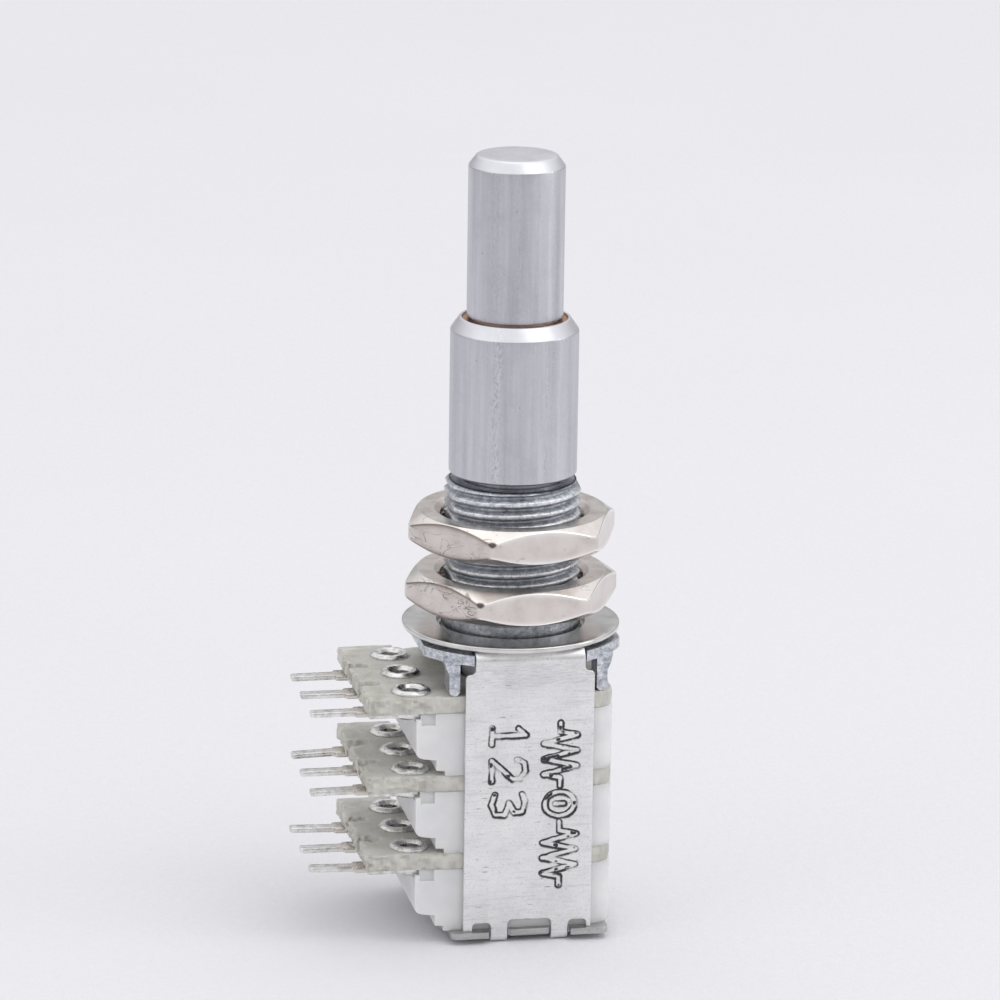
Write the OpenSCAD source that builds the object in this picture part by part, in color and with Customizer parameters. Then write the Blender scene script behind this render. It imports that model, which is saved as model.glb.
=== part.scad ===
// Stacked rotary potentiometer: three gangs on one bushing, with two
// concentric shafts. The hollow shaft turns the first two gangs, the solid
// shaft inside it turns the third. Origin: shaft axis at the panel face.

/* [Shafts] */
// Diameter of the solid inner shaft
inner_d = 6; // [5.9:0.05:6.1]
// Height of the inner shaft's end above the panel face
inner_top = 30; // [28:0.5:36]
// Diameter of the hollow outer shaft
outer_d = 8; // [7.9:0.05:8.1]
// Height of the outer shaft's end above the panel face
outer_top = 19.8; // [19:0.1:21]
// Diameter of the outer shaft inside the bushing
outer_neck_d = 6; // [5.9:0.05:6]
// Diameter of the inner shaft inside the outer shaft
inner_neck_d = 4; // [3.8:0.05:4]
// Radial running clearance of each shaft in its bearing
run_gap = 0.05; // [0.03:0.01:0.08]

/* [Bushing and nuts] */
// Outside diameter of the bushing thread
thread_d = 8.8; // [8.7:0.05:8.9]
// Height of the bushing above the panel face
bushing_h = 9.5; // [9.3:0.1:9.6]
// Distance across the flats of a nut
nut_af = 12; // [11:0.5:13]
// Thickness of a nut
nut_h = 2.15; // [1.95:0.05:2.2]
// Height of the lower nut's underside
lower_nut_z = 1.5; // [0.5:0.05:2.5]
// Height of the upper nut's underside
upper_nut_z = 5.4; // [4.9:0.1:6]
// Outside diameter of the washer
washer_d = 13.7; // [13:0.1:14]
// Thickness of the washer
washer_t = 0.35; // [0.3:0.05:0.4]

/* [Gangs] */
// Distance from one gang to the next
gang_pitch = 5.06; // [5.04:0.02:5.2]
// Height of the first board's top face below the panel face
first_board = 2.95; // [2.7:0.05:3]
// Thickness of a board
board_t = 1.05; // [1:0.05:1.15]
// Half depth of the boards and housings, front to back
half_y = 5.7; // [5.6:0.05:5.75]
// Right edge of the boards and housings
right_x = 5.7; // [5.5:0.1:6]
// Left edge of the boards
left_x = 10.05; // [9.9:0.05:10.1]
// How far the boards' terminal end stands out at the rear
rear_tab = 0.75; // [0:0.05:0.8]
// Distance between terminals
pin_pitch = 4; // [3.8:0.1:4.2]
// Reach of the terminal tips from the shaft axis
pin_tip = 13.3; // [12.5:0.1:14.5]
// Distance of the eyelets from the shaft axis
eyelet_x = 7; // [6.9:0.05:7.1]

/* [Sheet metal] */
// Thickness of the bracket's sheet
sheet_t = 0.4; // [0.35:0.05:0.45]
// Half width of the bracket's legs
leg_w = 4.05; // [4:0.05:4.2]
// Half width of the bracket's top web
neck_w = 3.45; // [3.3:0.05:3.6]
// How far the legs sit to the right of the shaft axis
leg_x = 0.15; // [0:0.05:0.2]
// How far the prongs and the rear plate sit to the right of the axis
foot_x = 0.3; // [0:0.05:0.35]

/* [Hidden] */
$fn = 64;
e = 0.01;

inner_r = inner_d / 2;
outer_r = outer_d / 2;
oneck_r = outer_neck_d / 2;
ineck_r = inner_neck_d / 2;
thread_r = thread_d / 2;
nut_bore_r = thread_r + 0.07;
ring_or = 3.3;
journal_r = inner_r - 0.25;               // inner shaft where it runs in the ring
outer_flat = 2.5;                        // half width across the drive flats
web_r = 5.8;                             // bracket's round web under the washer
leg_y = half_y + 0.05 + sheet_t;         // outer face of the bracket's legs
housing_h = gang_pitch - board_t;        // height of one housing
cavity_r = 5;
floor_t = 0.6;
pin_t = 0.3;
pin_w = 0.85;
hub_hole_r = 3.3;
prong_x = 1.92;                          // prongs, each side of the foot's middle
prong_w = 1.08;
rows = [-pin_pitch, 0, pin_pitch];
function top_z(g) = -first_board - gang_pitch * (g - 1);
function under_z(g) = top_z(g) - board_t;
stack_z = under_z(3) - housing_h;        // underside of the last housing
plate_z = stack_z - sheet_t;             // underside of the rear plate
foot_z = plate_z - sheet_t;              // underside of the folded prongs

// ---- shared shapes ----

// sector of a flat ring, between angles a0 and a1, less than a half turn each
module wedge(r, a0, a1) {
  polygon([[0, 0],
           [2 * r * cos(a0), 2 * r * sin(a0)],
           [2 * r * cos((a0 + a1) / 2), 2 * r * sin((a0 + a1) / 2)],
           [2 * r * cos(a1), 2 * r * sin(a1)]]);
}
module ring2d(ro, ri) {
  difference() { circle(r = ro); circle(r = ri); }
}
// rectangle with a radius on its two right corners only
module d_outline(x0, x1, hy, r) {
  union() {
    translate([x0, -hy]) square([x1 - r - x0, 2 * hy]);
    translate([x1 - r - e, -hy + r]) square([r + e, 2 * (hy - r)]);
    for (s = [-1, 1]) translate([x1 - r, s * (hy - r)]) circle(r = r);
  }
}

// ---- frame: bushing, bracket, rear plate, washer ----

module bushing_post(sx, sy) {
  // a cast foot that stands on the first board, flared where it leaves the flange
  translate([leg_x, 0, 0]) mirror([sx < 0 ? 1 : 0, 0, 0]) mirror([0, sy < 0 ? 1 : 0, 0])
    translate([4.3, 5.5, 0]) rotate([90, 0, 0]) linear_extrude(1.75)
      union() {
        translate([0, -first_board + 0.3]) square([0.68, first_board - 0.3 - 0.5]);
        translate([0, -first_board]) intersection() {
          translate([0.34, 0.34]) circle(r = 0.34, $fn = 32);
          square([0.68, 0.34]);
        }
        translate([0, -first_board + 0.2]) square([0.68, 0.4]);
        polygon([[0.5, -0.5], [1.02, -0.5], [0.9, -1.1], [0.68, -1.6], [0.5, -1.6]]);
      }
}
module bushing() {
  color("slategray") union() {
    difference() {
      union() {
        rotate_extrude() polygon([[0, -1], [5.3, -1], [5.3, -0.6], [thread_r, -0.6],
          [thread_r, bushing_h - 0.35], [thread_r - 0.3, bushing_h], [0, bushing_h]]);
        // flange, flat on its left and right sides
        intersection() {
          translate([0, 0, -0.85]) cylinder(r = 7.05, h = 0.65);
          translate([-6.1, -8, -1]) cube([12.45, 16, 2]);
        }
      }
      translate([0, 0, -2]) cylinder(r = oneck_r + run_gap, h = bushing_h + 4);
      // seat for the bracket's top web, open where the web bends down
      translate([0, 0, -sheet_t]) linear_extrude(sheet_t) difference() {
        union() {
          circle(r = web_r + 0.05);
          translate([leg_x - neck_w - 0.1, -8]) square([2 * neck_w + 0.2, 16]);
        }
        circle(r = thread_r);
      }
      for (s = [-1, 1]) translate([leg_x - neck_w - 0.1, s > 0 ? half_y - 0.2 : -8, -2])
        cube([2 * neck_w + 0.2, 8 - half_y + 0.2, 4]);
      // flats where the casting die parts
      for (s = [0, 180]) rotate([0, 0, s]) translate([4.15, -3, 0.9]) cube([2, 6, bushing_h]);
    }
    for (sx = [-1, 1], sy = [-1, 1]) bushing_post(sx, sy);
  }
}

module bracket_profile() {
  // sheet bent down twice, seen from the side: Y across, Z up
  r = 0.7;
  difference() {
    union() {
      translate([-leg_y, foot_z]) square([2 * leg_y, -foot_z - r]);
      translate([-leg_y + r, -2]) square([2 * (leg_y - r), 2]);
      for (s = [-1, 1]) translate([s * (leg_y - r), -r]) circle(r = r);
    }
    union() {
      translate([-leg_y + sheet_t, foot_z - 1]) square([2 * (leg_y - sheet_t), -foot_z + 1 - r]);
      translate([-leg_y + r, -4]) square([2 * (leg_y - r), 4 - sheet_t]);
      for (s = [-1, 1]) translate([s * (leg_y - r), -r]) circle(r = r - sheet_t, $fn = 32);
    }
  }
}
module web_outline() {
  // top web seen from above: round about the bushing, narrow at the bends
  union() {
    circle(r = web_r);
    translate([leg_x - neck_w, -8]) square([2 * neck_w, 16]);
    for (s = [-1, 1]) translate([-7, s > 0 ? leg_y - 0.7 : -8]) square([14, 8.7 - leg_y]);
  }
}
module leg_outline() {
  // one leg seen from the front: X across, Z up
  difference() {
    union() {
      translate([leg_x - neck_w, -2]) square([2 * neck_w, 1.7]);
      translate([-7, -0.45]) square([14, 1]);
      translate([leg_x - leg_w, stack_z]) square([2 * leg_w, -stack_z - 1.75]);
      translate([leg_x - leg_w + 0.3, -2]) square([2 * leg_w - 0.6, 0.55]);
      for (s = [-1, 1]) translate([leg_x + s * (leg_w - 0.3), -1.75]) circle(r = 0.3, $fn = 32);
      for (s = [-1, 1]) translate([foot_x + s * prong_x - prong_w / 2, foot_z]) square([prong_w, 3]);
    }
    // notches at the foot
    translate([foot_x, 0]) {
      translate([-1.37, foot_z - 1]) square([2.74, -foot_z + stack_z + 1.35]);
      translate([-1.07, stack_z]) square([2.14, 0.65]);
      for (s = [-1, 1]) translate([s * 1.07, stack_z + 0.35]) circle(r = 0.3, $fn = 32);
      for (s = [-1, 1]) translate([s * 3.04 - 0.57, stack_z - 0.5]) square([1.14, 0.7]);
      for (s = [-1, 1]) translate([s * 3.04 - 0.27, stack_z - 0.5]) square([0.54, 1]);
      for (s = [-1, 1], t = [-1, 1]) translate([s * 3.04 + t * 0.27, stack_z + 0.2]) circle(r = 0.3, $fn = 32);
    }
  }
}
module bracket() {
  color("gainsboro") union() {
    difference() {
      intersection() {
        rotate([90, 0, 90]) translate([0, 0, -6]) linear_extrude(12) bracket_profile();
        translate([0, 8, 0]) rotate([90, 0, 0]) linear_extrude(16) leg_outline();
        union() {
          translate([0, 0, -0.55]) linear_extrude(1) intersection() {
            web_outline();
            union() { circle(r = web_r); translate([leg_x - neck_w, -8]) square([2 * neck_w, 16]); }
          }
          translate([-7, -8, foot_z - 1]) cube([14, 16, -foot_z + 1 - 0.55 + e]);
        }
      }
      translate([0, 0, -2]) cylinder(r = thread_r, h = 4);
    }
    // prongs folded under the rear plate
    for (sx = [-1, 1], sy = [-1, 1])
      translate([foot_x + sx * prong_x - prong_w / 2, sy > 0 ? leg_y - 1.6 : -leg_y, foot_z]) cube([prong_w, 1.6, sheet_t]);
  }
}

module rear_plate() {
  color("silver") translate([foot_x, 0, plate_z]) linear_extrude(sheet_t) difference() {
    union() {
      translate([-5, -5.95]) square([10, 11.9]);
      for (sx = [-1, 1], sy = [-1, 1]) {
        translate([sx * 4.5, sy * 5.95]) circle(r = 0.5, $fn = 32);
        translate([sx * 3.55 - 0.95, sy * 5.95 - 0.5]) square([1.9, 1]);
      }
      for (sy = [-1, 1]) translate([-1.2, sy * 5.7 - 0.4]) square([2.4, 0.8]);
    }
    for (sx = [-1, 1], sy = [-1, 1])
      translate([sx * prong_x - prong_w / 2 - 0.07, sy > 0 ? leg_y - sheet_t : -8]) square([prong_w + 0.14, 8 - leg_y + sheet_t]);
    translate([-foot_x, 0]) circle(r = 1.9, $fn = 48);
  }
}

module washer() {
  color("silver") difference() {
    cylinder(r = washer_d / 2, h = washer_t);
    translate([0, 0, -1]) cylinder(r = 4.65, h = 2);
  }
}

module nut(z, turn) {
  color("tan") translate([0, 0, z]) difference() {
    intersection() {
      rotate([0, 0, turn]) cylinder(r = nut_af / 2 / cos(30), h = nut_h, $fn = 6);
      rotate_extrude() polygon([[0, 0], [nut_af / 2 - 0.1, 0], [nut_af / 2 + 1.1, 0.82],
        [nut_af / 2 + 1.1, nut_h - 0.82], [nut_af / 2 - 0.1, nut_h], [0, nut_h]]);
    }
    translate([0, 0, -1]) cylinder(r = nut_bore_r, h = nut_h + 2);
    for (s = [0, 1]) translate([0, 0, s * nut_h]) mirror([0, 0, s])
      rotate_extrude() polygon([[0, -e], [nut_bore_r + 0.35, -e], [nut_bore_r + 0.35, 0], [nut_bore_r, 0.35], [0, 0.35]]);
  }
}
module lower_nut() nut(lower_nut_z, 3);
module upper_nut() nut(upper_nut_z, 9);

// ---- one gang: board, track, terminals, eyelets, housing ----

module board(g) {
  color("darkseagreen") translate([0, 0, top_z(g) - board_t]) linear_extrude(board_t) difference() {
    union() {
      d_outline(-left_x, right_x, half_y, 1.5);
      // the terminal end stands out a little at the rear
      translate([-left_x, 0]) square([left_x - 6.4, half_y + rear_tab]);
    }
    circle(r = hub_hole_r);
    for (y = rows) translate([-eyelet_x, y]) circle(r = 0.8, $fn = 32);
    // slots between the terminals
    for (y = [-pin_pitch / 2, pin_pitch / 2]) {
      translate([-left_x - 1, y - 0.22]) square([2.1, 0.44]);
      translate([-left_x + 1.1, y]) circle(r = 0.22, $fn = 24);
    }
  }
}

module track(g) {
  // collector ring and horseshoe of resistive ink under the board
  color("dimgray") translate([0, 0, under_z(g) - 0.05]) linear_extrude(0.05) union() {
    ring2d(3.8, 3.4);
    difference() {
      ring2d(4.7, 4.05);
      wedge(5, 155, 205);
    }
  }
}

module terminals(g) {
  color("silver") translate([0, 0, under_z(g) - pin_t]) linear_extrude(pin_t) for (y = rows) translate([0, y])
    difference() {
      union() {
        translate([-pin_tip + 0.15, -pin_w / 2]) square([pin_tip - 10, pin_w]);
        translate([-pin_tip, -pin_w / 2 + 0.12]) square([1, pin_w - 0.24]);
        translate([-9.8, -1.2]) square([9.8 - eyelet_x, 2.4]);
        translate([-10.5, -0.75]) square([1, 1.5]);
        translate([-eyelet_x, 0]) circle(r = 1.2, $fn = 48);
      }
      translate([-eyelet_x, 0]) circle(r = 0.8, $fn = 32);
    }
}

module eyelets(g) {
  color("lightgray") for (y = rows) translate([-eyelet_x, y, 0])
    rotate_extrude() polygon([[0.6, under_z(g) - pin_t - 0.25], [0.95, under_z(g) - pin_t - 0.25],
      [1.1, under_z(g) - pin_t - 0.1], [1.1, under_z(g) - pin_t], [0.8, under_z(g) - pin_t],
      [0.8, top_z(g)], [1.275, top_z(g)], [1.275, top_z(g) + 0.08], [1.1, top_z(g) + 0.27],
      [0.9, top_z(g) + 0.3], [0.72, top_z(g) + 0.25], [0.6, top_z(g) + 0.05]]);
}

module housing(g) {
  // moulded cup under each board, open at its top
  z1 = under_z(g);
  z0 = z1 - housing_h;
  color("whitesmoke") difference() {
    union() {
      translate([0, 0, z0]) linear_extrude(housing_h) d_outline(-1, right_x, half_y, 1.5);
      // left part, seen from the front: stepped clear of the next board's eyelets
      rotate([90, 0, 0]) linear_extrude(2 * half_y, center = true)
        polygon([[0, z0], [-5.08, z0], [-5.08, z0 + 0.32], [-5.62, z0 + 0.36], [-5.62, z0 + 1.03],
          [-6.45, z0 + 1.14], [-6.72, z0 + 1.23], [-6.88, z0 + 1.42], [-6.88, z1 - 0.36],
          [-6.6, z1 - 0.36], [-6.6, z1], [0, z1]]);
    }
    difference() {
      translate([0, 0, z0 + floor_t]) cylinder(r = cavity_r, h = housing_h);
      // stop for the rotor's tab
      translate([0, 0, z0]) linear_extrude(floor_t + 1.05) intersection() {
        ring2d(cavity_r + 1, 4.1);
        wedge(4, 160, 200);
      }
    }
    translate([0, 0, z0 - 1]) cylinder(r = g < 3 ? hub_hole_r : 1.5 + run_gap, h = floor_t + 2);
    // shallow moulding marks at the two ends, just under the board
    for (y = [-half_y - 1, half_y - 0.25]) translate([-6.6, y, z1 - 0.74]) cube([0.91, 1.25, 1]);
    // room for the eyelets' lower ends
    for (y = rows) translate([-eyelet_x, y, z1 - 0.65]) cylinder(r = 1.25, h = 1, $fn = 48);
  }
}

module board_1() board(1);
module board_2() board(2);
module board_3() board(3);
module track_1() track(1);
module track_2() track(2);
module track_3() track(3);
module terminals_1() terminals(1);
module terminals_2() terminals(2);
module terminals_3() terminals(3);
module eyelets_1() eyelets(1);
module eyelets_2() eyelets(2);
module eyelets_3() eyelets(3);
module housing_1() housing(1);
module housing_2() housing(2);
module housing_3() housing(3);

// ---- turning pieces ----

module drive_section(r, flat) {
  intersection() {
    circle(r = r);
    square([2 * r + 1, 2 * flat], center = true);
  }
}

module rotor(g, r, flat) {
  z1 = under_z(g);
  color("ivory") difference() {
    union() {
      translate([0, 0, z1 - 2]) cylinder(r = 4.6, h = 1.4);
      translate([0, 0, z1 - 2.9]) cylinder(r = 3.8, h = 1);
      // tab that meets the housing's stop
      translate([0, 0, z1 - 2.9]) linear_extrude(1) intersection() {
        ring2d(4.6, 3.6);
        wedge(4, -8, 8.5);
      }
    }
    translate([0, 0, z1 - 4]) linear_extrude(5) drive_section(r, flat);
  }
}
module wiper(g) {
  // sprung contact: a ring on the rotor, with two raised fingers
  z1 = under_z(g);
  color("goldenrod") union() {
    translate([0, 0, z1 - 0.6]) linear_extrude(0.15) ring2d(4.5, 3.35);
    for (x = [3.6, 4.35]) translate([x, 0, z1 - 0.6]) rotate([90, 0, 90]) translate([0, 0, -0.14])
      linear_extrude(0.28) polygon([[-1.1, 0.1], [0.3, 0.38], [0.45, 0.46], [0.6, 0.38], [0.65, 0.3], [0.45, 0.32], [0.3, 0.26], [-0.3, 0.1]]);
  }
}
module rotor_1() rotor(1, oneck_r, outer_flat);
module rotor_2() rotor(2, oneck_r, outer_flat);
module rotor_3() rotor(3, ineck_r, 1.5);
module wiper_1() wiper(1);
module wiper_2() wiper(2);
module wiper_3() wiper(3);

module outer_shaft() {
  z0 = under_z(2) - 3.05;
  bore = ineck_r + run_gap;
  color("lightsteelblue") difference() {
    rotate_extrude() polygon([[bore, z0], [oneck_r, z0], [oneck_r, -1.72], [2.65, -1.72], [2.65, -1.3], [oneck_r, -1.3],
      [oneck_r, bushing_h + 0.4], [outer_r - 0.1, bushing_h + 0.4], [outer_r, bushing_h + 0.5],
      [outer_r, outer_top - 0.78], [outer_r - 0.55, outer_top], [ring_or, outer_top],
      [ring_or, outer_top - 2.4], [bore, outer_top - 2.4]]);
    // two flats that drive the rotors
    for (s = [0, 180]) rotate([0, 0, s]) translate([-5, outer_flat, z0 - 1]) cube([10, 3, 1 - z0 + under_z(1) - 0.4]);
  }
}
module bearing_ring() {
  color("peru") translate([0, 0, outer_top - 2.4]) difference() {
    cylinder(r = ring_or, h = 2.28);
    translate([0, 0, -1]) cylinder(r = journal_r + run_gap, h = 5);
  }
}
module clip(z, ri, ro, t, gap) {
  // open retaining ring, snapped in sideways from the right
  color("gray") translate([0, 0, z]) linear_extrude(t) difference() {
    ring2d(ro, ri);
    translate([0, -gap / 2]) square([ro + 1, gap]);
  }
}
module outer_clip() clip(-1.7, 2.65, 4, 0.38, 4);
module inner_clip() clip(top_z(3) + 0.1, 1.6, 2.9, 0.35, 2.4);

module inner_shaft() {
  z0 = stack_z + 0.3;
  zc = top_z(3) + 0.1;
  color("lightsteelblue") difference() {
    rotate_extrude() polygon([[0, z0], [1.5, z0], [1.5, stack_z + 0.75], [ineck_r, stack_z + 0.75],
      [ineck_r, zc], [1.6, zc], [1.6, zc + 0.37], [ineck_r, zc + 0.37],
      [ineck_r, outer_top - 2.15], [journal_r, outer_top - 2.15],
      [journal_r, outer_top + 0.06], [inner_r, outer_top + 0.06],
      [inner_r, inner_top - 0.67], [inner_r - 0.5, inner_top], [0, inner_top]]);
    for (s = [0, 180]) rotate([0, 0, s]) translate([-5, 1.5, z0 - 1]) cube([10, 3, under_z(3) - 0.4 - z0 + 1]);
  }
}

bushing();
bracket();
rear_plate();
washer();
lower_nut();
upper_nut();
board_1();
board_2();
board_3();
track_1();
track_2();
track_3();
terminals_1();
terminals_2();
terminals_3();
eyelets_1();
eyelets_2();
eyelets_3();
housing_1();
housing_2();
housing_3();
outer_shaft();
bearing_ring();
outer_clip();
rotor_1();
rotor_2();
wiper_1();
wiper_2();
inner_shaft();
inner_clip();
rotor_3();
wiper_3();
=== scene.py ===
import math

import bmesh
import bpy
import numpy as np
from mathutils import Matrix, Vector
from mathutils.geometry import delaunay_2d_cdt


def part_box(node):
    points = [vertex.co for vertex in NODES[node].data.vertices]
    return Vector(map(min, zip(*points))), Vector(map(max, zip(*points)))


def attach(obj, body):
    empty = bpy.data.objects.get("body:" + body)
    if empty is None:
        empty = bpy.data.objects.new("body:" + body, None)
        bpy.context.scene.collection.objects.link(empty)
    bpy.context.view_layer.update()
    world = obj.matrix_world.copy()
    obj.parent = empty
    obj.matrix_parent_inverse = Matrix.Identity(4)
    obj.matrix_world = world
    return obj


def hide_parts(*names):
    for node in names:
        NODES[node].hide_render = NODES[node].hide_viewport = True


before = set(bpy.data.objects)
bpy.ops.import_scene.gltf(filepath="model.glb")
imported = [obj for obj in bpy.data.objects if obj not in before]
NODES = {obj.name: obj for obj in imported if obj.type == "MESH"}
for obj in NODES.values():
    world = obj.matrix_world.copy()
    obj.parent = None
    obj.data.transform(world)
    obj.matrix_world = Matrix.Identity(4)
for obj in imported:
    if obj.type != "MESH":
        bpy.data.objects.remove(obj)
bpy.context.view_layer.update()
scene = bpy.context.scene

# ------------------------------------------------------------------ camera
AZ, EL, ROLL = math.radians(10.8), math.radians(14.87), math.radians(0.817)
TARGET = Vector((-0.778, 0.0, 8.05)) * 0.001
DIST = 0.36196
back = Vector((-math.sin(AZ) * math.cos(EL), -math.cos(AZ) * math.cos(EL), math.sin(EL)))
right = Vector((math.cos(AZ), -math.sin(AZ), 0.0))
up = back.cross(right)
r2 = right * math.cos(ROLL) + up * math.sin(ROLL)
u2 = -right * math.sin(ROLL) + up * math.cos(ROLL)
cam_data = bpy.data.cameras.new("camera")
cam_data.sensor_width = 36.0
cam_data.lens = 36.0 * 5806.0 / 1000.0
cam_data.clip_start, cam_data.clip_end = 0.01, 20.0
cam = bpy.data.objects.new("camera", cam_data)
scene.collection.objects.link(cam)
rot = Matrix((r2, u2, back)).transposed()
cam.matrix_world = Matrix.Translation(TARGET + back * DIST) @ rot.to_4x4()
scene.camera = cam

# ------------------------------------------------------------------ noise
def _hash(i, j, k, seed):
    n = (i * 374761393 + j * 668265263 + k * 2147483647 + seed * 974711) & 0x7FFFFFFF
    n = ((n ^ (n >> 13)) * 1274126177) & 0x7FFFFFFF
    n = (n ^ (n >> 16)) & 0xFFFF
    return n / 65535.0


def vnoise(x, y, z, seed=0):
    """smooth value noise in -1..1 on arrays"""
    x, y, z = np.broadcast_arrays(np.asarray(x, float), np.asarray(y, float), np.asarray(z, float))
    i, j, k = np.floor(x).astype(np.int64), np.floor(y).astype(np.int64), np.floor(z).astype(np.int64)
    fx, fy, fz = x - i, y - j, z - k
    fx, fy, fz = (f * f * (3 - 2 * f) for f in (fx, fy, fz))
    out = 0.0
    for a in (0, 1):
        for b in (0, 1):
            for c in (0, 1):
                w = (fx if a else 1 - fx) * (fy if b else 1 - fy) * (fz if c else 1 - fz)
                out = out + w * _hash(i + a, j + b, k + c, seed)
    return out * 2 - 1


def fbm(x, y, z, seed=0, octaves=3):
    out, amp, s = 0.0, 1.0, 1.0
    for o in range(octaves):
        out = out + amp * vnoise(x * s, y * s, z * s, seed + 17 * o)
        amp *= 0.5
        s *= 2.1
    return out


def smooth(a, b, x):
    t = np.clip((np.asarray(x, float) - a) / (b - a), 0, 1)
    return t * t * (3 - 2 * t)


# ------------------------------------------------------------------ mesh tools (all lengths in mm)
def build(name, verts, faces, mat, body, node=None, sharp=40, weld=True, attr=None):
    me = bpy.data.meshes.new(name)
    me.from_pydata([tuple(v) for v in np.asarray(verts, float) * 0.001], [], faces)
    if attr is not None:
        for key, vals in attr.items():
            a = me.attributes.new(key, "FLOAT", "POINT")
            a.data.foreach_set("value", np.asarray(vals, np.float32))
    bm = bmesh.new()
    bm.from_mesh(me)
    if weld:
        bmesh.ops.remove_doubles(bm, verts=bm.verts, dist=2e-7)
    bmesh.ops.dissolve_degenerate(bm, edges=bm.edges, dist=1e-8)
    bmesh.ops.recalc_face_normals(bm, faces=bm.faces)
    lim = math.radians(sharp)
    for f in bm.faces:
        f.smooth = True
    for e in bm.edges:
        e.smooth = len(e.link_faces) == 2 and e.calc_face_angle(0) < lim
    bm.to_mesh(me)
    bm.free()
    o = bpy.data.objects.new(name, me)
    scene.collection.objects.link(o)
    me.materials.append(mat)
    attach(o, body)
    if node:
        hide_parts(*([node] if isinstance(node, str) else node))
    return o


def fillet(points, closed=False, seg=4):
    """polyline whose points may carry a third number, a corner radius"""
    out, n = [], len(points)
    for i, p in enumerate(points):
        r = p[2] if len(p) > 2 else 0
        P = np.array(p[:2], float)
        if r <= 0 or (not closed and i in (0, n - 1)):
            out.append(P)
            continue
        A, B = np.array(points[i - 1][:2], float), np.array(points[(i + 1) % n][:2], float)
        a, b = A - P, B - P
        la, lb = np.linalg.norm(a), np.linalg.norm(b)
        a, b = a / la, b / lb
        ang = math.acos(max(-1, min(1, float(a @ b))))
        if ang > math.pi - 0.02:
            out.append(P)
            continue
        d = min(r / math.tan(ang / 2), la * 0.49, lb * 0.49)
        rr = d * math.tan(ang / 2)
        c = P + (a + b) / np.linalg.norm(a + b) * (rr / math.sin(ang / 2))
        v0, v1 = P + a * d - c, P + b * d - c
        t0, t1 = math.atan2(v0[1], v0[0]), math.atan2(v1[1], v1[0])
        dt = (t1 - t0 + math.pi) % (2 * math.pi) - math.pi
        for k in range(seg + 1):
            t = t0 + dt * k / seg
            out.append(c + rr * np.array([math.cos(t), math.sin(t)]))
    return np.array(out)


def dense(pts, step, closed=False):
    """adds points so that no segment is longer than step"""
    out, n = [], len(pts)
    for i in range(n if closed else n - 1):
        a, b = pts[i], pts[(i + 1) % n]
        k = max(1, int(math.ceil(np.linalg.norm(b - a) / step)))
        for j in range(k):
            out.append(a + (b - a) * j / k)
    if not closed:
        out.append(pts[-1])
    return np.array(out)


def lathe(profile, nth=128, closed=True, fn=None, phase=0.0):
    """turns a profile of (r, z) about Z; fn(theta, r, z) returns x, y, z"""
    pr = np.asarray(profile, float)
    m = len(pr)
    th = np.arange(nth) * 2 * math.pi / nth + phase
    T, R = np.meshgrid(th, pr[:, 0], indexing="ij")
    _, Z = np.meshgrid(th, pr[:, 1], indexing="ij")
    if fn is None:
        X, Y = R * np.cos(T), R * np.sin(T)
    else:
        X, Y, Z = fn(T, R, Z)
    verts = np.stack([X, Y, Z], -1).reshape(-1, 3)
    faces = []
    mm = m if closed else m - 1
    for i in range(nth):
        i2 = (i + 1) % nth
        for j in range(mm):
            j2 = (j + 1) % m
            faces.append((i * m + j, i2 * m + j, i2 * m + j2, i * m + j2))
    return verts, faces


def inset(poly, d):
    """moves a closed outline inwards by d along its own normals (anticlockwise outline)"""
    p = np.asarray(poly, float)
    a, b = np.roll(p, 1, 0), np.roll(p, -1, 0)
    t1, t2 = p - a, b - p
    t1 /= np.maximum(np.linalg.norm(t1, axis=1, keepdims=True), 1e-9)
    t2 /= np.maximum(np.linalg.norm(t2, axis=1, keepdims=True), 1e-9)
    n1, n2 = np.stack([-t1[:, 1], t1[:, 0]], 1), np.stack([-t2[:, 1], t2[:, 0]], 1)
    n = n1 + n2
    ln = np.linalg.norm(n, axis=1, keepdims=True)
    n = n / np.maximum(ln, 1e-6)
    c = np.clip((n * n1).sum(1, keepdims=True), 0.5, 1)
    dd = d if np.isscalar(d) else np.asarray(d)[:, None]
    return p + n * dd / c


def area2(p):
    q = np.roll(p, -1, 0)
    return float((p[:, 0] * q[:, 1] - q[:, 0] * p[:, 1]).sum()) / 2


def inside(poly, pts):
    x, y = pts[:, 0], pts[:, 1]
    res = np.zeros(len(pts), bool)
    q = np.roll(poly, -1, 0)
    for (x0, y0), (x1, y1) in zip(poly, q):
        if y0 == y1:
            continue
        c = (y0 > y) != (y1 > y)
        res ^= c & (x < (x1 - x0) * (y - y0) / (y1 - y0) + x0)
    return res


def near(poly, pts, d):
    """which points lie within d of the outline's points"""
    out = np.zeros(len(pts), bool)
    for s in range(0, len(poly), 64):
        q = poly[s:s + 64]
        D = ((pts[:, None, :] - q[None]) ** 2).sum(-1).min(1)
        out |= D < d * d
    return out


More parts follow.
